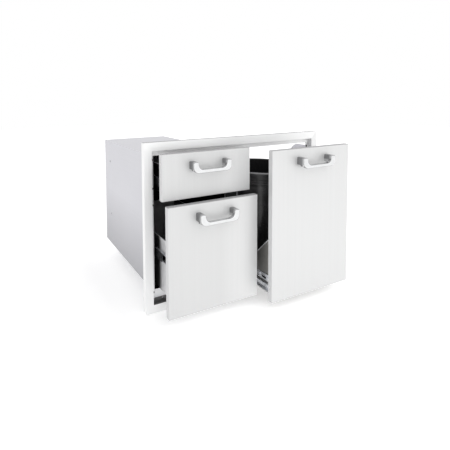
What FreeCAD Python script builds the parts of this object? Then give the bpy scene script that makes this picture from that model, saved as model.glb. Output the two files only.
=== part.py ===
import FreeCAD, Part
import math
import os

# Built-in stainless pull-out centre: two stacked drawers on the left and a
# tall pull-out door that carries a round waste bin on the right, behind one
# mitred trim frame.  Millimetres.
#
# Working coordinates: X from the frame's left edge to the right, Y from the
# frame's front face backwards, Z up from the frame's bottom edge.  Everything
# is shifted once on export, so that the part's origin is the middle of the
# trim frame's bottom edge in the plane where the frame meets the wall.

# ---------------------------------------------------------------- dimensions
frame_w = 762.0          # overall trim frame width (30 in)
frame_h = 565.0          # overall trim frame height
frame_depth = 19.0       # how far the frame's face stands off the wall
frame_face = 28.0        # visible width of the frame's border
sheet = 1.5              # frame and brace sheet thickness
lip = 12.0               # stop lip behind the opening, sides and bottom
lip_top = 18.0           # stop lip behind the opening, top
frame_corner_r = 3.0     # outer corner radius of the frame

panel_t = 17.0           # thickness of drawer fronts and door
skin_t = 1.2             # sheet of the panels' outer pans
liner_t = 1.0            # sheet of the panels' inner pans
panel_r = 2.0            # rounding of the panels' front edges

left_x0, left_x1 = 32.0, 371.0      # drawer fronts
door_x0, door_x1 = 376.0, 731.0     # trash door
top_z0, top_z1 = 386.0, 534.0       # top drawer front
low_z0, low_z1 = 31.0, 379.0        # lower drawer front
door_z0, door_z1 = 31.0, 534.0      # trash door

top_open = 62.0          # how far each front stands open at rest
low_open = 101.0
door_open = 165.0

encl_x0, encl_x1 = 31.0, 327.0      # drawer enclosure, outside
encl_z0, encl_z1 = 67.0, 521.0
encl_back = 525.0
encl_t = 1.2

box_t = 1.2              # drawer box sheet
box_x0, box_x1 = 57.5, 313.1        # drawer box, outside
box_len = 477.0
top_box_z0, top_box_z1 = 398.0, 492.0
low_box_z0, low_box_z1 = 72.0, 250.0

slide_t = 12.7           # side clearance that each slide fills
slide_h = 35.0
slide_y0, slide_y1 = 24.0, 494.0    # closed position of every slide member
top_slide_z = 436.0
low_slide_z = 194.0
trash_slide_z = 66.0

brace_l_x = 379.5        # left brace plate, its left face
brace_r_x = 724.0        # right brace plate, its left face
tray_x0, tray_x1 = 393.7, 711.3     # trash tray, outside of its side plates
tray_t = 1.5
tray_z0 = 46.0
tray_side_z = 88.0
gusset_z = 249.0         # height of the tray side where it meets the door

bin_x, bin_y = 551.0, 95.0          # bin axis at rest
bin_rim_r = 162.5
bin_top_z = 430.0
bin_foot_r = 134.0
bin_wall = 2.6

grip_out = 30.0          # how far a handle stands off its panel
grip_pitch = 126.0       # distance between a handle's posts
top_handle_z = 493.5
low_handle_z = 338.5
door_handle_z = 493.5

shift = FreeCAD.Vector(-frame_w / 2.0, -frame_depth, 0.0)
V = FreeCAD.Vector

os.makedirs("parts", exist_ok=True)


# ------------------------------------------------------------------- helpers
def box(x0, x1, y0, y1, z0, z1):
    return Part.makeBox(x1 - x0, y1 - y0, z1 - z0, V(x0, y0, z0))


def prism(points, direction):
    wire = Part.makePolygon(points + [points[0]])
    return Part.Face(wire).extrude(direction)


def prism_x(yz, x0, x1):
    return prism([V(x0, y, z) for y, z in yz], V(x1 - x0, 0, 0))


def prism_y(xz, y0, y1):
    return prism([V(x, y0, z) for x, z in xz], V(0, y1 - y0, 0))


def prism_z(xy, z0, z1):
    return prism([V(x, y, z0) for x, y in xy], V(0, 0, z1 - z0))


def cyl_y(x, y0, y1, z, r):
    return Part.makeCylinder(r, y1 - y0, V(x, y0, z), V(0, 1, 0))


def cyl_x(x0, x1, y, z, r):
    return Part.makeCylinder(r, x1 - x0, V(x0, y, z), V(1, 0, 0))


def solid_list(shape):
    return shape.Solids


def export(name, shapes):
    if not isinstance(shapes, (list, tuple)):
        shapes = [shapes]
    solids = []
    for s in shapes:
        s = s.copy()
        s.translate(shift)
        solids.extend(s.Solids)
    for s in solids:
        if not s.isValid() or s.Volume <= 0:
            raise RuntimeError("bad solid in " + name)
    out = solids[0] if len(solids) == 1 else Part.makeCompound(solids)
    out.exportStep("parts/" + name + ".step")
    print(name, len(solids), round(sum(s.Volume for s in solids) / 1000.0, 2))


def edges_where(shape, test):
    keep = []
    for e in shape.Edges:
        if e.Curve.TypeId != "Part::GeomLine":
            continue
        a, b = e.Vertexes[0].Point, e.Vertexes[-1].Point
        if test(a, b):
            keep.append(e)
    return keep


# --------------------------------------------------------------- trim frame
# One folded section all round: outer return, face, inner return, stop lip.
def rail_profile(lip_w):
    # (distance in from the outer edge, depth back from the face)
    return [
        (0, 0), (frame_face, 0), (frame_face, frame_depth),
        (frame_face + lip_w, frame_depth),
        (frame_face + lip_w, frame_depth + sheet),
        (frame_face - sheet, frame_depth + sheet),
        (frame_face - sheet, sheet), (sheet, sheet),
        (sheet, frame_depth), (0, frame_depth),
    ]


W, H, F = frame_w, frame_h, frame_face
inset = F + lip
inset_top = F + lip_top

outline = box(0, W, -1, 60, 0, H)
outline = outline.makeFillet(
    frame_corner_r,
    edges_where(outline, lambda a, b: abs(a.x - b.x) < 1e-6
                and abs(a.z - b.z) < 1e-6 and abs(a.y - b.y) > 1))

bottom = prism_x([(d, s) for s, d in rail_profile(lip)], 0, W)
top = prism_x([(d, H - s) for s, d in rail_profile(lip_top)], 0, W)
left = prism_z([(s, d) for s, d in rail_profile(lip)], 0, H)
right = prism_z([(W - s, d) for s, d in rail_profile(lip)], 0, H)

# The corners are mitred at 45 degrees out to the opening; the stop lips butt.
tri = F + sheet * 0
cut_bottom = prism_y([(0, 0), (W, 0), (W - F, F), (W - F, inset + 1),
                      (F, inset + 1), (F, F)], -1, 60)
cut_top = prism_y([(0, H), (W, H), (W - F, H - F), (W - F, H - inset_top - 1),
                   (F, H - inset_top - 1), (F, H - F)], -1, 60)
bottom = bottom.common(cut_bottom).common(outline)
top = top.common(cut_top).common(outline)
cut_left = prism_y([(0, 0), (F, F), (F, inset), (inset + 1, inset),
                    (inset + 1, H - inset_top), (F, H - inset_top),
                    (F, H - F), (0, H)], -1, 60)
cut_right = prism_y([(W - x, z) for x, z in
                     [(0, 0), (F, F), (F, inset), (inset + 1, inset),
                      (inset + 1, H - inset_top), (F, H - inset_top),
                      (F, H - F), (0, H)]], -1, 60)
left = left.common(cut_left).common(outline)
right = right.common(cut_right).common(outline)

# Screw holes through the bottom lip for the enclosure's front flange.
flange_screw_x = [70.0, 150.0, 230.0, 300.0]
for x in flange_screw_x:
    bottom = bottom.cut(cyl_y(x, frame_depth - 1, frame_depth + 5, 34.0, 2.2))

export("frame_bottom_rail", bottom)
export("frame_top_rail", top)
export("frame_left_stile", left)
export("frame_right_stile", right)

lip_back = frame_depth + sheet       # the plane that the inner parts weld to

# Centre mullion: a channel between the drawer bay and the trash bay.
mull_x0, mull_x1 = encl_x1, brace_l_x
mull = prism_z([(mull_x0, lip_back), (mull_x1, lip_back), (mull_x1, 40.0),
                (mull_x1 - sheet, 40.0), (mull_x1 - sheet, lip_back + sheet),
                (mull_x0 + sheet, lip_back + sheet), (mull_x0 + sheet, 36.0),
                (mull_x0, 36.0)], F, H - F)
export("centre_mullion", mull)

# Rubber bumpers on the stop lips, where the closed fronts come to rest.
bump = []
for x, z in [(36.0, 60.0), (36.0, 355.0), (36.0, 410.0), (36.0, 505.0),
             (726.0, 60.0), (726.0, 505.0)]:
    c = cyl_y(x, frame_depth - 1.7, frame_depth, z, 3.4)
    c = c.makeFillet(0.8, [e for e in c.Edges
                           if e.BoundBox.YMax < frame_depth - 1.6])
    bump.append(c)
export("stop_bumpers", bump)

# ---------------------------------------------------------- drawer enclosure
mount_z = [120.0, 340.0]
mount_y = 60.0
side_l = box(encl_x0, encl_x0 + encl_t, lip_back, encl_back, encl_z0, encl_z1)
side_r = box(encl_x1 - encl_t, encl_x1, lip_back, encl_back, encl_z0, encl_z1)
bracket_y = [34.0, 452.0]
bracket_screw_z = [200.0, 433.0]
for y in bracket_y:
    for z in bracket_screw_z:
        side_l = side_l.cut(cyl_x(encl_x0 - 1, encl_x0 + 3, y, z, 2.2))
for z in mount_z:
    side_l = side_l.cut(cyl_x(encl_x0 - 1, encl_x0 + 3, mount_y, z, 2.5))
export("enclosure_left_side", side_l)
export("enclosure_right_side", side_r)
export("enclosure_top", box(encl_x0 + encl_t, encl_x1 - encl_t, lip_back,
                            encl_back, encl_z1 - encl_t, encl_z1))
export("enclosure_floor", box(encl_x0 + encl_t, encl_x1 - encl_t,
                              lip_back + sheet, encl_back,
                              encl_z0, encl_z0 + encl_t))
export("enclosure_back", box(encl_x0 + encl_t, encl_x1 - encl_t,
                             encl_back - encl_t, encl_back,
                             encl_z0 + encl_t, encl_z1 - encl_t).cut(
                                 box(0, 1, 0, 1, 0, 1)))

# Front flange: closes the strip between the frame's bottom lip and the floor.
flange = box(encl_x0 + encl_t, mull_x0, lip_back, lip_back + sheet,
             F, encl_z0 + encl_t)
flange = flange.cut(box(encl_x1 - encl_t, mull_x0 + 1, lip_back - 1,
                        lip_back + 3, encl_z0, encl_z1))
for x in flange_screw_x:
    flange = flange.cut(cyl_y(x, frame_depth, frame_depth + 6, 34.0, 2.2))
export("enclosure_front_flange", flange)


def screw_y(x, y_head, z, direction, head_r, head_h, shank_r, length):
    # pan head screw along Y; direction +1 points the shank backwards
    d = V(0, direction, 0)
    base = V(x, y_head, z)
    head = Part.makeCylinder(head_r, head_h, base - d * head_h, d)
    far = [e for e in head.Edges
           if abs((e.BoundBox.Center.y - (base - d * head_h).y)) < 1e-3
           and e.BoundBox.YLength < 1e-3]
    head = head.makeFillet(min(head_r, head_h) * 0.45, far)
    shank = Part.makeCylinder(shank_r, length, base, d)
    return head.fuse(shank).removeSplitter()


def screw_x(x_head, y, z, direction, head_r, head_h, shank_r, length):
    d = V(direction, 0, 0)
    base = V(x_head, y, z)
    head = Part.makeCylinder(head_r, head_h, base - d * head_h, d)
    far = [e for e in head.Edges
           if abs((e.BoundBox.Center.x - (base - d * head_h).x)) < 1e-3
           and e.BoundBox.XLength < 1e-3]
    head = head.makeFillet(min(head_r, head_h) * 0.45, far)
    shank = Part.makeCylinder(shank_r, length, base, d)
    return head.fuse(shank).removeSplitter()


export("flange_screws", [screw_y(x, frame_depth, 34.0, 1, 3.4, 1.5, 2.0, 5.0)
                         for x in flange_screw_x])

# Slide brackets: two lipped channels that stand the left slides off the side.
brk = []
bx0, bx1 = encl_x0 + encl_t, box_x0 - slide_t
for y in bracket_y:
    y0, y1 = y - 11.0, y + 11.0
    prof = [(bx0, y0), (bx1, y0), (bx1, y0 + 7), (bx1 - encl_t, y0 + 7),
            (bx1 - encl_t, y0 + encl_t), (bx0 + encl_t, y0 + encl_t),
            (bx0 + encl_t, y1 - encl_t), (bx1 - encl_t, y1 - encl_t),
            (bx1 - encl_t, y1 - 7), (bx1, y1 - 7), (bx1, y1), (bx0, y1)]
    b = prism_z(prof, 150.0, 470.0)
    for z in bracket_screw_z:
        b = b.cut(cyl_x(bx0 - 1, bx0 + 3, y, z, 2.2))
    brk.append(b)
export("slide_brackets", brk)
export("bracket_screws", [screw_x(encl_x0, y, z, 1, 4.5, 2.2, 2.0, 6.0)
                          for y in bracket_y for z in bracket_screw_z])

# ------------------------------------------------------------------- slides
# Three nested members on each side: outer (fixed), middle, inner (moving).
def member(kind, x_cab, x_box, zc, dy):
    s = 1.0 if x_box > x_cab else -1.0
    t = 1.2
    if kind == "outer":
        a, b, h, root = 0.0, 9.4, slide_h / 2.0, 0.0
    elif kind == "middle":
        a, b, h, root = 2.3, 10.6, slide_h / 2.0 - 2.9, 2.3
    else:
        a, b, h, root = 4.8, slide_t, slide_h / 2.0 - 5.9, slide_t - t
    pts = []
    if kind == "inner":
        pts = [(slide_t, -h), (a, -h), (a, -h + t), (slide_t - t, -h + t),
               (slide_t - t, h - t), (a, h - t), (a, h), (slide_t, h)]
    else:
        pts = [(a, -h), (b, -h), (b, -h + t), (a + t, -h + t),
               (a + t, h - t), (b, h - t), (b, h), (a, h)]
    xz = [(x_cab + s * p, zc + q) for p, q in pts]
    return prism_y(xz, slide_y0 + dy, slide_y1 + dy)


def slide_set(name, xl, xr, zc, opened):
    # xl, xr: (cabinet face, box face) on the left and on the right
    for kind, dy in (("outer", 0.0), ("middle", -opened / 2.0),
                     ("inner", -opened)):
        export(name + "_slide_" + kind + "s",
               [member(kind, xl[0], xl[1], zc, dy),
                member(kind, xr[0], xr[1], zc, dy)])


drawer_l = (bx1, box_x0)
drawer_r = (encl_x1 - encl_t, box_x1)
slide_set("top_drawer", drawer_l, drawer_r, top_slide_z, top_open)
slide_set("lower_drawer", drawer_l, drawer_r, low_slide_z, low_open)
slide_set("trash", (brace_l_x + sheet, tray_x0), (brace_r_x, tray_x1),
          trash_slide_z, door_open)


# ------------------------------------------------------------------- panels
def panel(name, x0, x1, z0, z1, opened, holes):
    # outer pan with rounded front edges, and an inner pan that closes its back
    y0, y1 = -opened, -opened + panel_t
    pan = box(x0, x1, y0, y1, z0, z1)
    front = edges_where(pan, lambda a, b:
                        (abs(a.y - y0) < 1e-6 and abs(b.y - y0) < 1e-6)
                        or abs(a.y - b.y) > 1)
    pan = pan.makeFillet(panel_r, front)
    pan = pan.cut(box(x0 + skin_t, x1 - skin_t, y0 + skin_t, y1 + 1,
                      z0 + skin_t, z1 - skin_t))
    g = skin_t + 0.1
    lin = box(x0 + g, x1 - g, y1 - 9.0, y1, z0 + g, z1 - g)
    lin = lin.cut(box(x0 + g + liner_t, x1 - g - liner_t, y1 - 10.0,
                      y1 - liner_t, z0 + g + liner_t, z1 - g - liner_t))
    for x, z in holes:
        pan = pan.cut(cyl_y(x, y0 - 1, y0 + 3, z, 2.3))
        lin = lin.cut(cyl_y(x, y1 - 3, y1 + 1, z, 2.3))
    export(name + "_skin", pan)
    export(name + "_liner", lin)


def feet(xc):
    return [xc - grip_pitch / 2.0, xc + grip_pitch / 2.0]


top_xc = (left_x0 + left_x1) / 2.0
door_xc = (door_x0 + door_x1) / 2.0
panel("top_drawer_front", left_x0, left_x1, top_z0, top_z1, top_open,
      [(x, top_handle_z) for x in feet(top_xc)])
panel("lower_drawer_front", left_x0, left_x1, low_z0, low_z1, low_open,
      [(x, low_handle_z) for x in feet(top_xc)])
panel("trash_door", door_x0, door_x1, door_z0, door_z1, door_open,
      [(x, door_handle_z) for x in feet(door_xc)])


# ------------------------------------------------------------------ handles
grip_d = 11.0            # depth of the grip bar
post_w = 18.0            # width of a handle's posts
post_h = 25.0            # height of the posts where they meet the panel
grip_low = 36.0          # overall height of the handle's front
grip_h = 11.5            # height of the grip bar
corner_r = 19.0          # outer rounding of the lower corners
throat_r = 19.0          # inner rounding between posts and grip


def handle(xc, zc, opened):
    # A cast drop handle: two posts off the panel, and a front that falls from
    # the posts to a lower grip bar in large rounded corners.
    y = -opened
    half = grip_pitch / 2.0 + post_w / 2.0
    inner = half - post_w
    top = zc + post_h / 2.0
    low = top - grip_low
    grip_top = low + grip_h

    def arc(cx, cz, r, a0, a1):
        am = math.radians((a0 + a1) / 2.0)
        b0, b1 = math.radians(a0), math.radians(a1)
        return Part.Arc(V(cx + r * math.cos(b0), y, cz + r * math.sin(b0)),
                        V(cx + r * math.cos(am), y, cz + r * math.sin(am)),
                        V(cx + r * math.cos(b1), y, cz + r * math.sin(b1)))

    def line(x0, z0, x1, z1):
        return Part.LineSegment(V(x0, y, z0), V(x1, y, z1))

    def solid(parts, depth):
        return Part.Face(Part.Wire([g.toShape() for g in parts])).extrude(
            V(0, depth, 0))

    cr, tr, tip = corner_r, throat_r, 2.5

    def tips(xa, xb):
        # the rounded top of a post, from its right side to its left side
        return [arc(xb - tip, top - tip, tip, 0, 90),
                line(xb - tip, top, xa + tip, top),
                arc(xa + tip, top - tip, tip, 90, 180)]

    parts = [
        line(xc - half, top - tip, xc - half, low + cr),
        arc(xc - half + cr, low + cr, cr, 180, 270),
        line(xc - half + cr, low, xc + half - cr, low),
        arc(xc + half - cr, low + cr, cr, 270, 360),
        line(xc + half, low + cr, xc + half, top - tip)]
    parts += tips(xc + inner, xc + half)
    parts += [
        line(xc + inner, top - tip, xc + inner, grip_top + tr),
        arc(xc + inner - tr, grip_top + tr, tr, 0, -90),
        line(xc + inner - tr, grip_top, xc - inner + tr, grip_top),
        arc(xc - inner + tr, grip_top + tr, tr, 270, 180),
        line(xc - inner, grip_top + tr, xc - inner, top - tip)]
    parts += tips(xc - half, xc - inner)
    front = solid(parts, grip_d)
    front.translate(V(0, -grip_out, 0))
    yf = y - grip_out
    rim = [e for e in front.Edges
           if all(abs(v.Point.y - yf) < 1e-6 for v in e.Vertexes)]
    shape = front.makeFillet(2.0, rim)
    for sgn in (-1, 1):
        xa, xb = sorted((xc + sgn * half, xc + sgn * inner))
        post = solid(tips(xa, xb) + [
            line(xa, top - tip, xa, top - post_h),
            line(xa, top - post_h, xb, top - post_h),
            line(xb, top - post_h, xb, top - tip)], grip_out - 4.0)
        post.translate(V(0, -grip_out + 4.0, 0))
        shape = shape.fuse(post)
    shape = shape.removeSplitter()
    for sgn in (-1, 1):
        xf = xc + sgn * grip_pitch / 2.0
        shape = shape.cut(cyl_y(xf, y - 14.0, y + 1, zc, 2.1))
    return shape


export("top_drawer_handle", handle(top_xc, top_handle_z, top_open))
export("lower_drawer_handle", handle(top_xc, low_handle_z, low_open))
export("trash_door_handle", handle(door_xc, door_handle_z, door_open))


# ------------------------------------------------------------- drawer boxes
def drawer_box(name, z0, z1, opened, front_z1, screw_z):
    y0 = -opened + panel_t
    y1 = y0 + box_len
    # each side is folded back on itself along its top edge, on the outside
    hem = 10.0
    sides = []
    for xa, xb, xh in ((box_x0, box_x0 + box_t, box_x0 - box_t),
                       (box_x1 - box_t, box_x1, box_x1)):
        s = box(xa, xb, y0, y1, z0, z1)
        h = box(xh, xh + box_t, y0 + 1.0, y1, z1 - hem, z1)
        s = s.fuse(h).removeSplitter()
        top_edges = edges_where(s, lambda a, b: abs(a.z - z1) < 1e-6
                                and abs(b.z - z1) < 1e-6
                                and abs(a.y - b.y) > box_len - 5.0)
        sides.append(s.makeFillet(0.9, top_edges))
    export(name + "_box_sides", sides)
    export(name + "_box_floor",
           box(box_x0 + box_t, box_x1 - box_t, y0 + box_t, y1 - box_t,
               z0 + 8.0, z0 + 8.0 + box_t))
    export(name + "_box_back",
           box(box_x0 + box_t, box_x1 - box_t, y1 - box_t, y1, z0, z1))
    plate = box(box_x0 + box_t, box_x1 - box_t, y0, y0 + box_t, z0, front_z1)
    thick = 0.0
    if front_z1 > screw_z:
        thick = box_t
        for x in feet(top_xc):
            plate = plate.cut(cyl_y(x, y0 - 1, y0 + 3, screw_z, 2.3))
    export(name + "_box_front", plate)
    export(name + "_handle_screws",
           [screw_y(x, y0 + thick, screw_z, -1, 4.2, 2.4, 2.0,
                    panel_t + thick + 10.0) for x in feet(top_xc)])


drawer_box("top_drawer", top_box_z0, top_box_z1, top_open, 508.0, top_handle_z)
drawer_box("lower_drawer", low_box_z0, low_box_z1, low_open, low_box_z1,
           low_handle_z)

# ---------------------------------------------------------------- trash bay
# Two gusset-shaped brace plates run back from the frame and carry the slides.
def arc_points(c, r, a0, a1, n):
    return [(c[0] + r * math.cos(math.radians(a0 + (a1 - a0) * i / n)),
             c[1] + r * math.sin(math.radians(a0 + (a1 - a0) * i / n)))
            for i in range(n + 1)]


brace_r = 34.0
corner = arc_points((62.0, 509.0 - brace_r), brace_r, 90, 45, 6)
# the slope leaves the arc at 45 degrees and runs down to the slide shelf
ex, ez = corner[-1]
slope_end = (ex + (ez - 96.0), 96.0)
brace_yz = ([(lip_back, 42.0), (slide_y1 + 6.0, 42.0), (slide_y1 + 6.0, 90.0)]
            + [(min(slope_end[0], slide_y1), 96.0)]
            + list(reversed(corner)) + [(lip_back, 509.0)])
brace_l = prism_x(brace_yz, brace_l_x, brace_l_x + sheet)
brace_rr = prism_x(brace_yz, brace_r_x, brace_r_x + sheet)
flange_r = box(brace_r_x + sheet, W - F - 0.5, lip_back, lip_back + sheet,
               inset + 2.0, 509.0)
for z in mount_z:
    brace_rr = brace_rr.cut(cyl_x(brace_r_x - 1, brace_r_x + 3, mount_y, z, 2.5))
export("trash_brace_left", brace_l)
export("trash_brace_right", brace_rr.fuse(flange_r).removeSplitter())
export("trash_rear_crossmember",
       box(brace_l_x + sheet, brace_r_x, slide_y1 + 4.5, slide_y1 + 6.0,
           44.0, 90.0))
export("rear_tie_plate",
       box(encl_x1, brace_l_x, slide_y1 - 44.0, slide_y1 + 4.0, 80.0,
           80.0 + sheet))

# Tray: floor, two gusseted sides, back and a front plate bolted to the door.
ty0 = -door_open + panel_t
ty1 = ty0 + box_len
drop = gusset_z - tray_side_z
side_yz = [(ty0, tray_z0), (ty1, tray_z0), (ty1, tray_side_z),
           (ty0 + drop / 1.09, tray_side_z), (ty0, gusset_z)]
export("trash_tray_left_side", prism_x(side_yz, tray_x0, tray_x0 + tray_t))
export("trash_tray_right_side", prism_x(side_yz, tray_x1 - tray_t, tray_x1))
export("trash_tray_floor",
       box(tray_x0 + tray_t, tray_x1 - tray_t, ty0 + tray_t, ty1 - tray_t,
           tray_z0, tray_z0 + tray_t))
export("trash_tray_back",
       box(tray_x0 + tray_t, tray_x1 - tray_t, ty1 - tray_t, ty1,
           tray_z0, tray_side_z))
tray_front = box(tray_x0 + tray_t, tray_x1 - tray_t, ty0, ty0 + tray_t,
                 tray_z0, 150.0)
door_bolts = [(x, z) for x in (430.0, 553.5, 677.0) for z in (70.0, 130.0)]
for x, z in door_bolts:
    tray_front = tray_front.cut(cyl_y(x, ty0 - 1, ty0 + 3, z, 2.3))
export("trash_tray_front", tray_front)
export("trash_door_handle_screws",
       [screw_y(x, ty0, door_handle_z, -1, 4.2, 2.4, 2.0, panel_t + 10.0)
        for x in feet(door_xc)])
export("trash_tray_screws",
       [screw_y(x, ty0 + tray_t, z, -1, 4.0, 2.2, 2.0, tray_t)
        for x, z in door_bolts])

# -------------------------------------------------------------------- bin
foot_z = tray_z0 + tray_t
wall = bin_wall
top_r = bin_rim_r - 5.5              # body radius just under the rim


def body_r(z):
    return bin_foot_r + (top_r - bin_foot_r) * (z - foot_z) / (bin_top_z - foot_z)


prof = [(0, foot_z), (bin_foot_r - 4, foot_z), (bin_foot_r, foot_z + 4),
        (body_r(bin_top_z - 3), bin_top_z - 3),
        (bin_rim_r - 2.2, bin_top_z - 3), (bin_rim_r - 2.2, bin_top_z - 16),
        (bin_rim_r, bin_top_z - 16), (bin_rim_r, bin_top_z - 1.5),
        (bin_rim_r - 1.5, bin_top_z),
        (body_r(bin_top_z) - wall + 1.0, bin_top_z),
        (body_r(bin_top_z) - wall, bin_top_z - 1.0),
        (bin_foot_r - wall, foot_z + 5), (bin_foot_r - wall - 2, foot_z + 3),
        (0, foot_z + 3)]
face = Part.Face(Part.makePolygon([V(r, 0, z) for r, z in prof]
                                  + [V(prof[0][0], 0, prof[0][1])]))
bin_solid = face.revolve(V(0, 0, 0), V(0, 0, 1), 360)
bin_solid.translate(V(bin_x, bin_y, 0))
export("waste_bin", bin_solid)
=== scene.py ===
import bpy
import bmesh
import math
import random
from mathutils import Vector, Matrix


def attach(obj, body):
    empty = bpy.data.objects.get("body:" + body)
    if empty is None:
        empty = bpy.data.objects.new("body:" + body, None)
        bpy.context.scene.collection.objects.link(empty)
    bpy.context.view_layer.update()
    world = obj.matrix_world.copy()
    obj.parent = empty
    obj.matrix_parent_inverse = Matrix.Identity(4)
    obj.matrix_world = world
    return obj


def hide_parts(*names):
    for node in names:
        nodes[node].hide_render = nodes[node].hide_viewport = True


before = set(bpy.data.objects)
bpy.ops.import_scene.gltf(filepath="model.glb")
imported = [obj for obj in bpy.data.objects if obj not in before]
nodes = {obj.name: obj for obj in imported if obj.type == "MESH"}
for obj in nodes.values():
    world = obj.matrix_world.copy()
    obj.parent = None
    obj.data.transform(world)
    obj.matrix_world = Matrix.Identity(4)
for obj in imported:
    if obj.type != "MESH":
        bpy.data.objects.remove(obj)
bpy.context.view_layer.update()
random.seed(7)
scene = bpy.context.scene
coll = scene.collection


# ---------------------------------------------------------------- materials
def new_mat(name):
    m = bpy.data.materials.new(name)
    m.use_nodes = True
    nt = m.node_tree
    nt.nodes.clear()
    out = nt.nodes.new("ShaderNodeOutputMaterial")
    bsdf = nt.nodes.new("ShaderNodeBsdfPrincipled")
    nt.links.new(bsdf.outputs[0], out.inputs[0])
    return m, nt, bsdf


def coords(nt, scale):
    tc = nt.nodes.new("ShaderNodeTexCoord")
    mp = nt.nodes.new("ShaderNodeMapping")
    mp.inputs["Scale"].default_value = scale
    nt.links.new(tc.outputs["Object"], mp.inputs["Vector"])
    return mp.outputs[0]


def noise(nt, vec, scale, detail=2.0, rough=0.5):
    n = nt.nodes.new("ShaderNodeTexNoise")
    n.inputs["Scale"].default_value = scale
    n.inputs["Detail"].default_value = detail
    n.inputs["Roughness"].default_value = rough
    nt.links.new(vec, n.inputs["Vector"])
    return n.outputs["Fac"]


def ramp(nt, fac, a, b, lo=0.35, hi=0.65):
    r = nt.nodes.new("ShaderNodeMapRange")
    r.inputs["From Min"].default_value = lo
    r.inputs["From Max"].default_value = hi
    r.inputs["To Min"].default_value = a
    r.inputs["To Max"].default_value = b
    nt.links.new(fac, r.inputs["Value"])
    return r.outputs[0]


def mathn(nt, op, a, b):
    m = nt.nodes.new("ShaderNodeMath")
    m.operation = op
    for i, v in enumerate((a, b)):
        if isinstance(v, (int, float)):
            m.inputs[i].default_value = v
        else:
            nt.links.new(v, m.inputs[i])
    return m.outputs[0]


def mixcol(nt, fac, a, b):
    m = nt.nodes.new("ShaderNodeMix")
    m.data_type = "RGBA"
    if isinstance(fac, (int, float)):
        m.inputs[0].default_value = fac
    else:
        nt.links.new(fac, m.inputs[0])
    for i, v in ((6, a), (7, b)):
        if isinstance(v, tuple):
            m.inputs[i].default_value = (*v, 1.0)
        else:
            nt.links.new(v, m.inputs[i])
    return m.outputs[2]


def bump(nt, height, strength, dist):
    b = nt.nodes.new("ShaderNodeBump")
    b.inputs["Strength"].default_value = strength
    b.inputs["Distance"].default_value = dist
    nt.links.new(height, b.inputs["Height"])
    return b.outputs[0]


def brushed(name, base, rough, grain, contrast=0.05, metallic=1.0, smudge=0.03,
            bump_s=0.25):
    """Brushed sheet steel: fine hairlines along one axis, broader streaks and
    faint clouding in roughness. grain is the axis the lines run along."""
    m, nt, bsdf = new_mat(name)
    long_, cross = 3.0, 700.0
    sc = {"x": (long_, cross, cross), "y": (cross, long_, cross),
          "z": (cross, cross, long_)}[grain]
    fine = noise(nt, coords(nt, sc), 1.0, 3.0, 0.6)
    wide = noise(nt, coords(nt, tuple(s * 0.13 for s in sc)), 1.0, 2.0, 0.5)
    cloud = noise(nt, coords(nt, (6.0, 6.0, 6.0)), 1.0, 3.0, 0.55)
    streak = mathn(nt, "ADD", mathn(nt, "MULTIPLY", fine, 0.6),
                   mathn(nt, "MULTIPLY", wide, 0.4))
    dark = tuple(c * (1.0 - contrast * 2.0) for c in base)
    light = tuple(min(1.0, c * (1.0 + contrast)) for c in base)
    fac = ramp(nt, streak, 0.0, 1.0, 0.30, 0.70)
    nt.links.new(mixcol(nt, fac, dark, light), bsdf.inputs["Base Color"])
    bsdf.inputs["Metallic"].default_value = metallic
    r1 = ramp(nt, streak, rough - 0.05, rough + 0.06, 0.3, 0.7)
    r2 = mathn(nt, "ADD", r1, ramp(nt, cloud, -smudge, smudge, 0.3, 0.7))
    nt.links.new(r2, bsdf.inputs["Roughness"])
    nt.links.new(bump(nt, fine, bump_s, 0.00006), bsdf.inputs["Normal"])
    return m


m_front = brushed("front_steel", (0.63, 0.632, 0.632), 0.46, "z", 0.018, 0.35,
                  0.02, 0.12)
m_liner = brushed("liner_steel", (0.70, 0.70, 0.71), 0.45, "z", 0.02, 0.6)
m_frame_h = brushed("frame_steel_h", (0.86, 0.863, 0.863), 0.44, "x", 0.010,
                    0.40, 0.02, 0.10)
m_frame_v = brushed("frame_steel_v", (0.86, 0.863, 0.863), 0.44, "z", 0.010,
                    0.25, 0.02, 0.10)
# painted shade: the right stile's steel is a darker copy of the frame steel
m_frame_r_shade = brushed("frame_steel_r_painted_shade", (0.78, 0.783, 0.783), 0.44, "z", 0.010,
                    0.35, 0.02, 0.10)
# painted light: the stiles' inner returns are brightened against their shade
m_return = brushed("frame_return", (0.80, 0.80, 0.805), 0.5, "z", 0.03, 0.5)
# painted shade: the bottom rail's inner return is near black
m_return_low_shade = brushed("frame_return_low_painted_shade", (0.15, 0.15, 0.15), 0.5, "x", 0.04,
                       0.5)
# painted light: the top rail's inner return is near white
m_return_top_lit = brushed("frame_return_top_painted_light", (0.95, 0.95, 0.95), 0.5, "x", 0.01,
                       0.15)
# painted shade: darker steel for upward-facing edges
m_top_edge_shade = brushed("top_edge_painted_shade", (0.38, 0.38, 0.385), 0.45, "x", 0.02, 0.4)
# painted light: lighter edge steel for left-facing edges
m_side_edge_lit = brushed("side_edge_painted_light", (0.62, 0.62, 0.625), 0.45, "z", 0.02,
                      0.4)
# painted shade: near-black copy of the slide zinc, for slides and sheet that sit
# in shaded gaps
m_slide_shade = brushed("slide_painted_shade", (0.022, 0.0225, 0.025), 0.4, "y", 0.05,
                      0.8)
# painted shade: the centre mullion's steel is near black
m_mull_shade = brushed("mullion_painted_shade", (0.03, 0.03, 0.031), 0.5, "z", 0.03, 0.5)
m_flange = brushed("flange_steel", (0.90, 0.90, 0.91), 0.45, "x", 0.02, 0.3)
m_sheet = brushed("sheet_steel", (0.70, 0.695, 0.74), 0.46, "y", 0.02, 0.45,
                  0.03, 0.12)
# painted light: the braces' sheet is brightened against the shade they sit in
m_brace_lit = brushed("brace_painted_light", (0.86, 0.85, 0.90), 0.46, "y", 0.02, 0.25,
                  0.03, 0.12)
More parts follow.
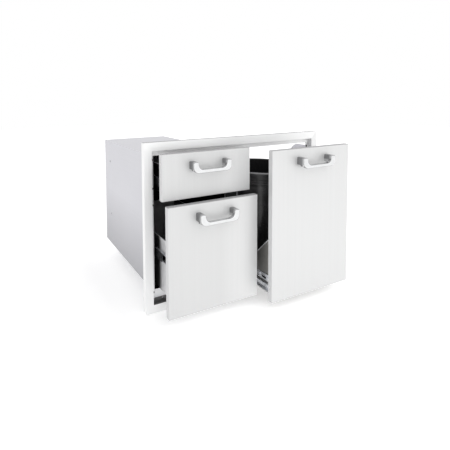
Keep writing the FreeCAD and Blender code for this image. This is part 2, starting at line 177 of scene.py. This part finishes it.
# painted shade: near-black steel for the enclosure's inside and the slide
# brackets
m_inner_shade = brushed("inner_painted_shade", (0.004, 0.004, 0.0045), 0.6, "y", 0.03, 0.8)
m_box = brushed("box_steel", (0.60, 0.60, 0.61), 0.42, "y", 0.03, 0.5)
m_slide = brushed("slide_steel", (0.72, 0.735, 0.765), 0.27, "y", 0.04, 0.85)
m_tray = brushed("tray_steel", (0.23, 0.225, 0.215), 0.36, "y", 0.05, 0.6)


def graded(name, base, rough, grain, axis, lo, hi, at_lo, at_hi=(1.0,) * 3,
           contrast=0.02, metallic=0.45, bump_s=0.12):
    """Like brushed, but the tone runs along an axis (object coordinates, m):
    times at_lo at lo, times at_hi at hi."""
    m = brushed(name, base, rough, grain, contrast, metallic, 0.03, bump_s)
    nt = m.node_tree
    bsdf = [n for n in nt.nodes if n.type == "BSDF_PRINCIPLED"][0]
    src = bsdf.inputs["Base Color"].links[0].from_socket
    tc = nt.nodes.new("ShaderNodeTexCoord")
    sep = nt.nodes.new("ShaderNodeSeparateXYZ")
    nt.links.new(tc.outputs["Object"], sep.inputs[0])
    f = ramp(nt, sep.outputs["XYZ".index(axis)], 0.0, 1.0, lo, hi)
    scale = mixcol(nt, f, at_lo, at_hi)
    mul = nt.nodes.new("ShaderNodeMix")
    mul.data_type = "RGBA"
    mul.blend_type = "MULTIPLY"
    mul.inputs[0].default_value = 1.0
    nt.links.new(src, mul.inputs[6])
    nt.links.new(scale, mul.inputs[7])
    nt.links.new(mul.outputs[2], bsdf.inputs["Base Color"])
    return m


# painted shade: the enclosure sheet is darker towards the bottom
m_encl_shade = graded("enclosure_painted_shade", (0.63, 0.628, 0.66), 0.46, "y", "Z",
                0.07, 0.32, (0.66, 0.66, 0.66))
# painted light: the drawer fronts brighten towards their right ends, against the
# door's shade
m_drawer_front_lit = graded("drawer_front_painted_light", (0.60, 0.602, 0.602), 0.46, "z",
                        "X", -0.16, -0.01, (1.0,) * 3, (1.24,) * 3, 0.018,
                        0.30)
# painted shade: the box sides go near black behind the frame's face
m_box_side_shade = graded("box_side_painted_shade", (0.74, 0.74, 0.75), 0.42, "y", "Y",
                    -0.022, -0.002, (1.0,) * 3, (0.045,) * 3, 0.03, 0.3)
# painted highlight: bright tone for the box sides' upward hems
m_hem_lit = brushed("hem_painted_highlight", (0.93, 0.93, 0.94), 0.35, "y", 0.02, 0.3)
# painted highlight: grey tone for the bin lip's outer edge
m_rim_highlight = brushed("bin_rim_painted_highlight", (0.20, 0.20, 0.205), 0.3, "z", 0.02, 0.0)


def chrome(name, base, rough, root=None):
    """Polished metal; where the root attribute rises it turns dull and dark:
    painted shade and painted reflection, not a change in the metal."""
    m, nt, bsdf = new_mat(name)
    n = noise(nt, coords(nt, (60.0, 60.0, 60.0)), 1.0, 2.0)
    col = mixcol(nt, ramp(nt, n, 0.0, 1.0), base,
                 tuple(min(1, c * 1.06) for c in base))
    rgh = ramp(nt, n, rough, rough + 0.04)
    if root:
        at = nt.nodes.new("ShaderNodeAttribute")
        at.attribute_name = "root"
        col = mixcol(nt, at.outputs["Fac"], col, root)
        rgh = mathn(nt, "ADD", rgh, mathn(nt, "MULTIPLY", at.outputs["Fac"],
                                          0.12))
    nt.links.new(col, bsdf.inputs["Base Color"])
    bsdf.inputs["Metallic"].default_value = 1.0
    nt.links.new(rgh, bsdf.inputs["Roughness"])
    f = noise(nt, coords(nt, (900.0, 900.0, 900.0)), 1.0, 2.0)
    nt.links.new(bump(nt, f, 0.04, 0.00003), bsdf.inputs["Normal"])
    return m


# painted shade and painted reflection: the dark tone that the handles' root
# attribute mixes in
m_chrome = chrome("handle_chrome", (0.62, 0.625, 0.63), 0.12,
                  (0.20, 0.20, 0.205))
m_screw = chrome("screw_steel", (0.52, 0.52, 0.53), 0.24)


def plastic(name, base, rough, spec=0.5):
    m, nt, bsdf = new_mat(name)
    big = noise(nt, coords(nt, (14.0, 14.0, 5.0)), 1.0, 3.0)
    grit = noise(nt, coords(nt, (1500.0,) * 3), 1.0, 2.0)
    nt.links.new(mixcol(nt, ramp(nt, big, 0.0, 1.0), base,
                        tuple(c * 1.5 for c in base)),
                 bsdf.inputs["Base Color"])
    nt.links.new(mathn(nt, "ADD", ramp(nt, big, rough - 0.04, rough + 0.05),
                       ramp(nt, grit, -0.03, 0.03)), bsdf.inputs["Roughness"])
    nt.links.new(bump(nt, grit, 0.25, 0.0001), bsdf.inputs["Normal"])
    bsdf.inputs["Specular IOR Level"].default_value = spec
    return m


m_bin = plastic("bin_plastic", (0.017, 0.017, 0.0175), 0.30, 0.62)
# painted shade: darker, duller copy of the bin plastic for its inside
m_bin_in_shade = plastic("bin_inside_painted_shade", (0.0016, 0.0016, 0.0019), 0.6, 0.12)
m_rubber = plastic("rubber", (0.02, 0.02, 0.02), 0.7)


def put(name, mat):
    o = nodes[name]
    o.data.materials.clear()
    o.data.materials.append(mat)
    return o


def fallback(n):
    if n.endswith("_screws"):
        return m_screw
    if n.endswith("_handle"):
        return m_chrome
    if "_slide_" in n:
        return m_slide if n.startswith("trash") else m_slide_shade
    if n.endswith("_skin"):
        return m_front if n.startswith("trash") else m_drawer_front_lit
    if n.endswith("_liner"):
        return m_liner
    if n in ("frame_top_rail", "frame_bottom_rail"):
        return m_frame_h
    if n in ("frame_left_stile", "frame_right_stile"):
        return m_frame_v
    if n == "stop_bumpers":
        return m_rubber
    if n == "waste_bin":
        return m_bin
    if n.startswith("trash_tray"):
        return m_tray
    if n.startswith("trash_brace") or n == "trash_rear_crossmember":
        return m_brace_lit
    if n == "centre_mullion":
        return m_mull_shade
    if n == "enclosure_front_flange":
        return m_flange
    if "_box_" in n:
        return m_box
    if n.startswith("enclosure"):
        return m_encl_shade
    return m_sheet


for n in nodes:
    put(n, fallback(n))


# Faces are told apart by where they lie, in working millimetres: X from the
# frame's left edge, Y back from its face, Z up.
def W(x, y, z):
    return Vector(((x - 381.0) / 1000.0, (y - 19.0) / 1000.0, z / 1000.0))


def face_mats(name, mats, pick):
    o = nodes[name]
    o.data.materials.clear()
    for m in mats:
        o.data.materials.append(m)
    mw = o.matrix_world
    rot = mw.to_3x3()
    for p in o.data.polygons:
        c = mw @ p.center
        nrm = (rot @ p.normal).normalized()
        p.material_index = pick(c.x * 1000 + 381, c.y * 1000 + 19, c.z * 1000,
                                nrm)


# painted shade: the enclosure's inside faces are near black, its outside is
# plain sheet
face_mats("enclosure_left_side", [m_encl_shade, m_inner_shade],
          lambda x, y, z, n: 1 if n.x > 0.5 else 0)
face_mats("enclosure_right_side", [m_encl_shade, m_inner_shade],
          lambda x, y, z, n: 1 if n.x < -0.5 else 0)
face_mats("enclosure_top", [m_encl_shade, m_inner_shade],
          lambda x, y, z, n: 1 if n.z < -0.5 else 0)
face_mats("enclosure_floor", [m_encl_shade, m_inner_shade],
          lambda x, y, z, n: 1 if n.z > 0.5 else 0)
face_mats("enclosure_back", [m_encl_shade, m_inner_shade],
          lambda x, y, z, n: 1 if n.y < -0.5 else 0)
# painted shade: the slide brackets inside the enclosure are near black
face_mats("slide_brackets", [m_inner_shade], lambda x, y, z, n: 0)
# painted light and shade: the frame's inner returns and stop lips get lit and
# shaded copies of its steel, and the top rail's top face the darker edge tone
face_mats("frame_right_stile", [m_frame_r_shade, m_return],
          lambda x, y, z, n: 1 if (x < 735 and (n.x < -0.5 or y > 18.5)) else 0)
face_mats("frame_left_stile", [m_frame_v, m_return],
          lambda x, y, z, n: 1 if (x > 27 and (n.x > 0.5 or y > 18.5)) else 0)
face_mats("frame_bottom_rail", [m_frame_h, m_return_low_shade],
          lambda x, y, z, n: 1 if z > 27.0 and (n.z > 0.5 or y > 18.5) else 0)
face_mats("frame_top_rail", [m_frame_h, m_return_top_lit, m_top_edge_shade],
          lambda x, y, z, n: 2 if n.z > 0.5 and z > 560 else
          1 if z < 537.5 and (n.z < -0.5 or y > 18.5) else 0)
# painted shade: the panels' folded top edges are a darker copy of their steel,
# and painted light gives their left edges a lighter copy of that edge tone
for _n, _m in (("top_drawer_front_skin", m_drawer_front_lit),
               ("lower_drawer_front_skin", m_drawer_front_lit),
               ("trash_door_skin", m_front)):
    face_mats(_n, [_m, m_top_edge_shade, m_side_edge_lit],
              lambda x, y, z, n: 1 if n.z > 0.45 else
              2 if n.x < -0.6 else 0)
# painted shade: the drawer slides are near black, with painted highlights on
# their front ends and upward faces
for _n in ("top_drawer", "lower_drawer"):
    for _k in ("middles", "inners"):
        face_mats(_n + "_slide_" + _k, [m_slide_shade, m_slide],
                  lambda x, y, z, n: 1 if n.y < -0.5 or n.z > 0.5 else 0)
    # painted shade on the box sides' side faces, darker behind the frame's face;
    # painted highlight on their upward hems
    face_mats(_n + "_box_sides", [m_box, m_box_side_shade, m_hem_lit],
              lambda x, y, z, n: 2 if n.z > 0.35 else
              1 if n.x < -0.5 or n.x > 0.5 else 0)
# painted shade: the top drawer's box sides are near black where they show in the
# gaps
face_mats("top_drawer_box_sides", [m_box, m_slide_shade, m_hem_lit],
          lambda x, y, z, n: 2 if n.z > 0.35 else
          1 if abs(n.x) > 0.5 and (x < 59 or x > 312) else 0)


# ------------------------------------------------------------------ bevels
def soften(name, width, angle=40.0, segments=2):
    """Round a folded sheet's edges: the imported faces are joined first."""
    o = nodes[name]
    w = o.modifiers.new("weld", "WELD")
    w.merge_threshold = 0.00001
    b = o.modifiers.new("bevel", "BEVEL")
    b.width = width
    b.segments = segments
    b.limit_method = "ANGLE"
    b.angle_limit = math.radians(angle)
    b.use_clamp_overlap = True
    b.harden_normals = False
    return o


for n in ("frame_top_rail", "frame_bottom_rail", "frame_left_stile",
          "frame_right_stile"):
    soften(n, 0.0006)


# ------------------------------------------------------------- new pieces
def finish_piece(me, name, body, mat, smooth=None):
    o = bpy.data.objects.new(name, me)
    coll.objects.link(o)
    me.materials.clear()
    mats = mat if isinstance(mat, (list, tuple)) else [mat]
    for m in mats:
        me.materials.append(m)
    for p in me.polygons:
        p.use_smooth = smooth is not None
    if smooth is not None and smooth < 180:
        me.set_sharp_from_angle(angle=math.radians(smooth))
    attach(o, body)
    return o


def bm_mesh(bm, name):
    bmesh.ops.recalc_face_normals(bm, faces=bm.faces)
    me = bpy.data.meshes.new(name)
    bm.to_mesh(me)
    bm.free()
    return me


def arc_pts(cx, cz, r, a0, a1, n=8):
    return [(cx + r * math.cos(math.radians(a0 + (a1 - a0) * i / n)),
             cz + r * math.sin(math.radians(a0 + (a1 - a0) * i / n)))
            for i in range(n + 1)]


def add_prism(bm, pts, y0, y1):
    """Closed prism of an XZ outline (working mm) between two Y planes."""
    f = [bm.verts.new(W(x, y0, z)) for x, z in pts]
    g = [bm.verts.new(W(x, y1, z)) for x, z in pts]
    bm.faces.new(f)
    bm.faces.new(list(reversed(g)))
    for i in range(len(pts)):
        j = (i + 1) % len(pts)
        bm.faces.new([f[j], f[i], g[i], g[j]])


def baked(me, name, mods):
    """The mesh with modifiers applied, as plain mesh data."""
    tmp = bpy.data.objects.new("tmp_" + name, me)
    coll.objects.link(tmp)
    for kind, props in mods:
        m = tmp.modifiers.new(kind.lower(), kind)
        for k, v in props.items():
            setattr(m, k, v)
    dg = bpy.context.evaluated_depsgraph_get()
    dg.update()
    out = bpy.data.meshes.new_from_object(tmp.evaluated_get(dg))
    out.name = name
    bpy.data.objects.remove(tmp, do_unlink=True)
    return out


def handle_piece(node, xc, zc, opened, body):
    """Cast drop handle: posts that flow into a front with large rounded
    corners, polished in front, with painted shade towards its root and painted
    reflections on its turned edges."""
    half, inner = 72.0, 54.0
    top, low = zc + 12.5, zc + 12.5 - 36.0
    grip_top = low + 11.5
    yf = -opened - 30.0
    outline = []
    outline += [(xc - half, top - 2.5)]
    outline += arc_pts(xc - half + 19, low + 19, 19, 180, 270, 12)
    outline += arc_pts(xc + half - 19, low + 19, 19, 270, 360, 12)
    outline += arc_pts(xc + half - 2.5, top - 2.5, 2.5, 0, 90, 3)
    outline += arc_pts(xc + inner + 2.5, top - 2.5, 2.5, 90, 180, 3)
    outline += arc_pts(xc + inner - 19, grip_top + 19, 19, 0, -90, 12)
    outline += arc_pts(xc - inner + 19, grip_top + 19, 19, 270, 180, 12)
    outline += arc_pts(xc - inner - 2.5, top - 2.5, 2.5, 0, 90, 3)
    outline += arc_pts(xc - half + 2.5, top - 2.5, 2.5, 90, 150, 2)
    bm = bmesh.new()
    add_prism(bm, outline, yf + 0.3, yf + 11.0)
    for sgn in (-1, 1):
        xa, xb = sorted((xc + sgn * half, xc + sgn * inner))
        post = ([(xa, top - 25.0), (xb, top - 25.0)]
                + arc_pts(xb - 2.5, top - 2.5, 2.5, 0, 90, 3)
                + arc_pts(xa + 2.5, top - 2.5, 2.5, 90, 180, 3))
        add_prism(bm, post, yf + 4.0, -opened + 0.6)
        # webs that carry the post down into the corner
        web = [(xa, top - 24.0), (xb, top - 24.0), (xb, top - 29.0),
               (xa, top - 29.0)]
        add_prism(bm, web, yf + 4.0, yf + 16.0)
    me = bm_mesh(bm, node + "_src")
    me = baked(me, node + "_detail", [
        ("REMESH", {"mode": "VOXEL", "voxel_size": 0.0009}),
        ("SMOOTH", {"factor": 0.5, "iterations": 16})])
    # root carries painted shade towards the panel and painted reflection bands
    att = me.attributes.new("root", "FLOAT", "POINT")
    y_front = (yf - 19.0) / 1000.0
    vals = [0.0] * len(me.vertices)
    for i, v in enumerate(me.vertices):
        d = (v.co.y - y_front) * 1000.0
        n = v.normal
        xx = abs(v.co.x * 1000.0 + 381.0 - xc)
        zz = v.co.z * 1000.0 - top
        back = max(0.0, min(1.0, (d - 4.0) / 7.0))
        # the painted shade is lifted from the inward faces low down, where the
        # throat opens
        if xx < half - 3.0 and abs(n.x) > 0.5:
            back *= max(0.0, min(1.0, (zz + 19.0) / 6.0))
        # painted reflection bands where the rounded edges turn away from the
        # front
        band = max(0.90 * math.exp(-((n.z + 0.62) / 0.30) ** 2),
                   0.95 * math.exp(-((n.z - 0.52) / 0.30) ** 2),
                   0.45 * math.exp(-((abs(n.x) - 0.62) / 0.20) ** 2)
                   if zz > -27.0 else 0.0)
        vals[i] = max(0.85 * back, band * (1.0 if d < 9.0 else 0.6))
    att.data.foreach_set("value", vals)
    o = finish_piece(me, node + "_detail", body, m_chrome, 180)
    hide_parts(node)
    return o


TOP_XC, DOOR_XC = (32.0 + 371.0) / 2.0, (376.0 + 731.0) / 2.0
handle_piece("top_drawer_handle", TOP_XC, 493.5, 62.0, "top_drawer")
handle_piece("lower_drawer_handle", TOP_XC, 338.5, 101.0, "lower_drawer")
handle_piece("trash_door_handle", DOOR_XC, 493.5, 165.0, "trash_carriage")


def bin_piece():
    foot_z, top_z = 47.5, 430.0

    def body(z):
        return 134.0 + (157.0 - 134.0) * (z - foot_z) / (top_z - foot_z)

    prof = [(0, 50.0), (112, 50.0), (118, 49.5), (121, 47.6), (130, 47.6),
            (133, 49.0), (134.2, 52.0), (134.6, 58.0), (133.6, 60.0),
            (133.9, 64.0)]
    for z in (120, 180, 240, 300):
        prof.append((body(z), z))
    # two shallow shoulders, then stacking ribs under the rim
    prof += [(body(338), 338), (body(340) + 0.9, 340.5),
             (body(372) + 0.9, 372), (body(374), 374.5)]
    for z in (386, 395, 404):
        prof += [(body(z) - 0.1, z - 2.4), (body(z) + 1.2, z - 1.2),
                 (body(z) + 1.2, z + 0.6), (body(z) - 0.1, z + 1.8)]
    prof += [(body(426) + 0.2, 425.6), (160.0, 426.4), (160.4, 425.0),
             (160.4, 414.6), (160.9, 414.1), (161.9, 414.1), (162.4, 414.7),
             (162.4, 425.5), (162.0, 427.8), (160.9, 429.4), (159.2, 430.0),
             (157.2, 429.8), (155.6, 428.8), (154.4, 426.6),
             (body(330) - 2.6, 330), (body(200) - 2.6, 200),
             (133.0, 70.0), (131.2, 56.0), (128.0, 52.6), (120.0, 51.6),
             (60.0, 52.4), (0, 52.8)]
    segs = 160
    bm = bmesh.new()
    rings = []
    for r, z in prof:
        if r == 0:
            rings.append([bm.verts.new(W(551.0, 95.0, z))])
        else:
            rings.append([bm.verts.new(W(
                551.0 + r * math.cos(2 * math.pi * i / segs),
                95.0 + r * math.sin(2 * math.pi * i / segs), z))
                for i in range(segs)])
    for a, b in zip(rings, rings[1:]):
        for i in range(segs):
            j = (i + 1) % segs
            if len(a) == 1:
                bm.faces.new([a[0], b[i], b[j]])
            elif len(b) == 1:
                bm.faces.new([a[i], a[j], b[0]])
            else:
                bm.faces.new([a[i], a[j], b[j], b[i]])
    me = bm_mesh(bm, "waste_bin_detail")
    o = finish_piece(me, "waste_bin_detail", "bin",
                     [m_bin, m_bin_in_shade, m_rim_highlight], 50)
    axis = W(551.0, 95.0, 0.0)
    # painted shade on the inside faces, painted highlight on the lip's outer
    # edge
    for p in me.polygons:
        out = p.center - axis
        out.z = 0.0
        p.material_index = 1 if (out.dot(p.normal) < 0 and
                                 p.center.z < 0.4262 and out.length < 0.1572
                                 and p.center.z > 0.0515) else 0
        # painted highlight along the lip's outer edge
        if out.dot(p.normal) > 0 and p.center.z > 0.4256 \
                and out.length > 0.1598:
            p.material_index = 2
    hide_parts("waste_bin")


bin_piece()


def add_screw(bm, base, d, head_r, head_h, shank_r, length):
    """Pan head with a cross recess; base is where the head seats and d the
    way the shank points."""
    d = Vector(d).normalized()
    u = Vector((0, 0, 1)).cross(d).normalized()
    v = d.cross(u)
    segs = 40

    def at(r, t, h):
        return base + (u * math.cos(t) + v * math.sin(t)) * (r / 1000.0) \
            - d * (h / 1000.0)

    recess = head_r * 0.50
    arm = head_r * 0.17

    def inside(t, r):
        x, y = abs(r * math.cos(t)), abs(r * math.sin(t))
        return min(x, y) <= arm

    prof = [(shank_r, -length), (shank_r, 0.0), (head_r, 0.0),
            (head_r, head_h * 0.40), (head_r * 0.95, head_h * 0.66),
            (head_r * 0.82, head_h * 0.86), (head_r * 0.62, head_h * 0.97)]
    rings = [[bm.verts.new(at(r, 2 * math.pi * i / segs, h))
              for i in range(segs)] for r, h in prof]
    for a, b in zip(rings, rings[1:]):
        for i in range(segs):
            j = (i + 1) % segs
            bm.faces.new([a[i], a[j], b[j], b[i]])
    bm.faces.new(list(reversed(rings[0])))
    # the cross: a twelve-cornered outline sunk into the crown
    c = [(arm, recess), (-arm, recess), (-arm, arm), (-recess, arm),
         (-recess, -arm), (-arm, -arm), (-arm, -recess), (arm, -recess),
         (arm, -arm), (recess, -arm), (recess, arm), (arm, arm)]
    topv = [bm.verts.new(base + u * (x / 1000) + v * (y / 1000)
                         - d * (head_h / 1000)) for x, y in c]
    lowv = [bm.verts.new(base + u * (x * 0.8 / 1000) + v * (y * 0.8 / 1000)
                         - d * (head_h * 0.25 / 1000)) for x, y in c]
    for i in range(12):
        j = (i + 1) % 12
        bm.faces.new([topv[i], topv[j], lowv[j], lowv[i]])
    bm.faces.new(lowv)
    # crown between the last ring and the cross
    e = []
    ring = rings[-1]
    loop = [bm.edges.get((ring[i], ring[(i + 1) % segs])) for i in range(segs)]
    cross = [bm.edges.get((topv[i], topv[(i + 1) % 12])) for i in range(12)]
    bmesh.ops.triangle_fill(bm, use_beauty=True, use_dissolve=False,
                            edges=[x for x in loop + cross if x])


def screw_piece(node, body, places):
    bm = bmesh.new()
    for p in places:
        add_screw(bm, *p)
    me = bm_mesh(bm, node + "_detail")
    o = finish_piece(me, node + "_detail", body, m_screw, 40)
    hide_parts(node)


Y_BACK, Y_FRONT, X_RIGHT = (0, 1, 0), (0, -1, 0), (1, 0, 0)
screw_piece("bracket_screws", "root",
            [(W(31.0, y, z), X_RIGHT, 4.4, 2.15, 1.95, 6.0)
             for y in (34.0, 452.0) for z in (200.0, 433.0)])
screw_piece("flange_screws", "root",
            [(W(x, 19.0, 34.0), Y_BACK, 3.3, 1.45, 1.95, 5.0)
             for x in (70.0, 150.0, 230.0, 300.0)])
screw_piece("top_drawer_handle_screws", "top_drawer",
            [(W(TOP_XC + s * 63.0, -62.0 + 17.0 + 1.2, 493.5), Y_FRONT, 4.1,
              2.35, 1.95, 28.0) for s in (-1, 1)])
screw_piece("lower_drawer_handle_screws", "lower_drawer",
            [(W(TOP_XC + s * 63.0, -101.0 + 17.0, 338.5), Y_FRONT, 4.1,
              2.35, 1.95, 26.8) for s in (-1, 1)])
screw_piece("trash_door_handle_screws", "trash_carriage",
            [(W(DOOR_XC + s * 63.0, -165.0 + 17.0, 493.5), Y_FRONT, 4.1,
              2.35, 1.95, 26.8) for s in (-1, 1)])
screw_piece("trash_tray_screws", "trash_carriage",
            [(W(x, -165.0 + 17.0 + 1.5, z), Y_FRONT, 3.9, 2.15, 1.95, 1.4)
             for x in (430.0, 553.5, 677.0) for z in (70.0, 130.0)])


# Zinc plates that tie the tray's slides to the door, with two bolts each.
def door_bracket(side, xa, xb):
    bm = bmesh.new()
    r = 3.0
    pts = (arc_pts(xb - r, 92 - r, r, 0, 90, 4)
           + arc_pts(xa + r, 92 - r, r, 90, 180, 4)
           + arc_pts(xa + r, 44 + r, r, 180, 270, 4)
           + arc_pts(xb - r, 44 + r, r, 270, 360, 4))
    add_prism(bm, pts, -147.8, -145.6)
    xc = (xa + xb) / 2.0
    for z in (53.0, 83.0):
        add_prism(bm, arc_pts(xc, z, 3.4, 30, 330, 5), -145.6, -143.0)
    me = bm_mesh(bm, "trash_door_bracket_" + side)
    finish_piece(me, "trash_door_bracket_" + side, "trash_carriage", m_slide,
                 30)


# Zinc clips above the slides' front ends, with two bolts and a slot drawn as a
# dark painted-shade inlay.
def add_prism_x(bm, pts, x0, x1):
    f = [bm.verts.new(W(x0, y, z)) for y, z in pts]
    g = [bm.verts.new(W(x1, y, z)) for y, z in pts]
    bm.faces.new(f)
    bm.faces.new(list(reversed(g)))
    for i in range(len(pts)):
        j = (i + 1) % len(pts)
        bm.faces.new([f[j], f[i], g[i], g[j]])


def rounded(y0, y1, z0, z1, r, n=4):
    return (arc_pts(y1 - r, z1 - r, r, 0, 90, n)
            + arc_pts(y0 + r, z1 - r, r, 90, 180, n)
            + arc_pts(y0 + r, z0 + r, r, 180, 270, n)
            + arc_pts(y1 - r, z0 + r, r, 270, 360, n))


def slide_clip(side, x0, x1):
    """x0 is the tray's face, x1 the clip's free face."""
    s = 1.0 if x1 > x0 else -1.0
    bm = bmesh.new()
    add_prism_x(bm, rounded(-143.0, -78.0, 85.0, 107.0, 4.0), x0, x1)
    for y in (-133.0, -88.0):
        add_prism_x(bm, arc_pts(y, 97.5, 4.2, 0, 315, 7), x1, x1 + s * 2.2)
        add_prism_x(bm, arc_pts(y, 97.5, 2.2, 0, 330, 11), x1 + s * 2.2,
                    x1 + s * 2.9)
    me = bm_mesh(bm, "trash_slide_clip_" + side)
    finish_piece(me, "trash_slide_clip_" + side, "trash_carriage", m_slide,
                 30)
    # painted shade: a dark inlay stands for the slot's shadow
    bm = bmesh.new()
    add_prism_x(bm, rounded(-121.0, -100.0, 90.0, 96.5, 3.2), x1 - s * 0.5,
                x1 + s * 0.12)
    me = bm_mesh(bm, "trash_slide_clip_slot_shade_" + side)
    finish_piece(me, "trash_slide_clip_slot_shade_" + side, "trash_carriage",
                 m_slide_shade, 30)


slide_clip("left", 393.6, 391.4)
slide_clip("right", 711.4, 713.6)

door_bracket("left", 383.0, 393.4)
door_bracket("right", 711.6, 722.0)


# Hems along the sloped edges of the tray's sides.
def tray_hem(side, xa, xb):
    pts = [(-147.5, 249.0), (0.2, 88.2), (329.0, 88.2)]
    r = 1.5
    xc = (xa + xb) / 2.0
    n = 12
    bm = bmesh.new()
    rings = []
    for i, (y, z) in enumerate(pts):
        a = Vector((0, pts[max(i - 1, 0)][0], pts[max(i - 1, 0)][1]))
        b = Vector((0, pts[min(i + 1, 2)][0], pts[min(i + 1, 2)][1]))
        t = (b - a).normalized()
        u = Vector((1, 0, 0))
        v = t.cross(u)
        ring = []
        for k in range(n):
            ang = 2 * math.pi * k / n
            q = Vector((xc, y, z)) + (u * math.cos(ang)
                                      + v * math.sin(ang)) * r
            ring.append(bm.verts.new(W(q.x, q.y, q.z)))
        rings.append(ring)
    for p, q in zip(rings, rings[1:]):
        for k in range(n):
            j = (k + 1) % n
            bm.faces.new([p[k], p[j], q[j], q[k]])
    bm.faces.new(rings[0])
    bm.faces.new(rings[-1])
    me = bm_mesh(bm, "trash_tray_hem_" + side)
    finish_piece(me, "trash_tray_hem_" + side, "trash_carriage", m_slide,
                 60)


tray_hem("left", 393.9, 395.1)
tray_hem("right", 709.9, 711.1)

# ------------------------------------------------------------------- stage
def floor_and_light():
    me = bpy.data.meshes.new("floor")
    s = 8.0
    me.from_pydata([(-s, -s, 0), (s, -s, 0), (s, s, 0), (-s, s, 0)], [],
                   [(0, 1, 2, 3)])
    fl = bpy.data.objects.new("floor", me)
    coll.objects.link(fl)
    fl.location = (0, 0, -0.001)
    m, nt, bsdf = new_mat("floor_white")
    bsdf.inputs["Base Color"].default_value = (0.93, 0.93, 0.93, 1)
    bsdf.inputs["Roughness"].default_value = 0.9
    bsdf.inputs["Emission Color"].default_value = (1, 1, 1, 1)
    tc = nt.nodes.new("ShaderNodeTexCoord")
    sep = nt.nodes.new("ShaderNodeSeparateXYZ")
    nt.links.new(tc.outputs["Object"], sep.inputs[0])
    # painted light: the floor glows, weaker on the left than on the right, to
    # thin the object's shadows
    floor_painted_light = ramp(nt, sep.outputs[0], 0.17, 0.42, -0.46, -0.22)
    nt.links.new(floor_painted_light, bsdf.inputs["Emission Strength"])
    me.materials.append(m)

    w = bpy.data.worlds.new("world")
    scene.world = w
    w.use_nodes = True
    nt = w.node_tree
    nt.nodes.clear()
    out = nt.nodes.new("ShaderNodeOutputWorld")
    bg = nt.nodes.new("ShaderNodeBackground")
    bg.inputs[0].default_value = (1, 1, 1, 1)
    bg.inputs[1].default_value = 1.0
    nt.links.new(bg.outputs[0], out.inputs[0])

    def area(name, loc, target, size, power):
        l = bpy.data.lights.new(name, "AREA")
        l.shape = "RECTANGLE"
        l.size, l.size_y = size
        l.energy = power
        o = bpy.data.objects.new(name, l)
        coll.objects.link(o)
        o.location = loc
        d = Vector(target) - Vector(loc)
        o.rotation_mode = "QUATERNION"
        o.rotation_quaternion = d.to_track_quat("-Z", "Y")
        return o

    area("key", (1.2, -1.8, 2.6), (0, 0, 0.2), (2.0, 1.6), 8)
    area("front", (-1.3, -3.2, 1.1), (0, 0, 0.28), (2.0, 1.4), 16)


floor_and_light()

# ------------------------------------------------------------------ camera
def camera():
    yaw, pitch, roll = (math.radians(v) for v in
                        (24.35381268, -3.17645650, -0.76033994))
    fwd = Vector((math.sin(yaw) * math.cos(pitch),
                  math.cos(yaw) * math.cos(pitch), math.sin(pitch)))
    right = Vector((math.cos(yaw), -math.sin(yaw), 0))
    up = right.cross(fwd)
    r2 = right * math.cos(roll) + up * math.sin(roll)
    u2 = -right * math.sin(roll) + up * math.cos(roll)
    cam = bpy.data.cameras.new("camera")
    o = bpy.data.objects.new("camera", cam)
    coll.objects.link(o)
    m = Matrix((
        (r2.x, u2.x, -fwd.x, -0.81493852),
        (r2.y, u2.y, -fwd.y, -1.04434368),
        (r2.z, u2.z, -fwd.z, 0.70630437),
        (0, 0, 0, 1)))
    o.matrix_world = m
    cam.sensor_width = 36.0
    cam.lens = 353.23966 / 450.0 * 36.0
    cam.shift_x = (225.0 - 152.0) / 450.0
    cam.shift_y = (118.0 - 225.0) / 450.0
    cam.clip_start = 0.05
    cam.clip_end = 60.0
    cam.dof.use_dof = False
    scene.camera = o


camera()
scene.view_settings.view_transform = "Standard"
scene.view_settings.look = "None"
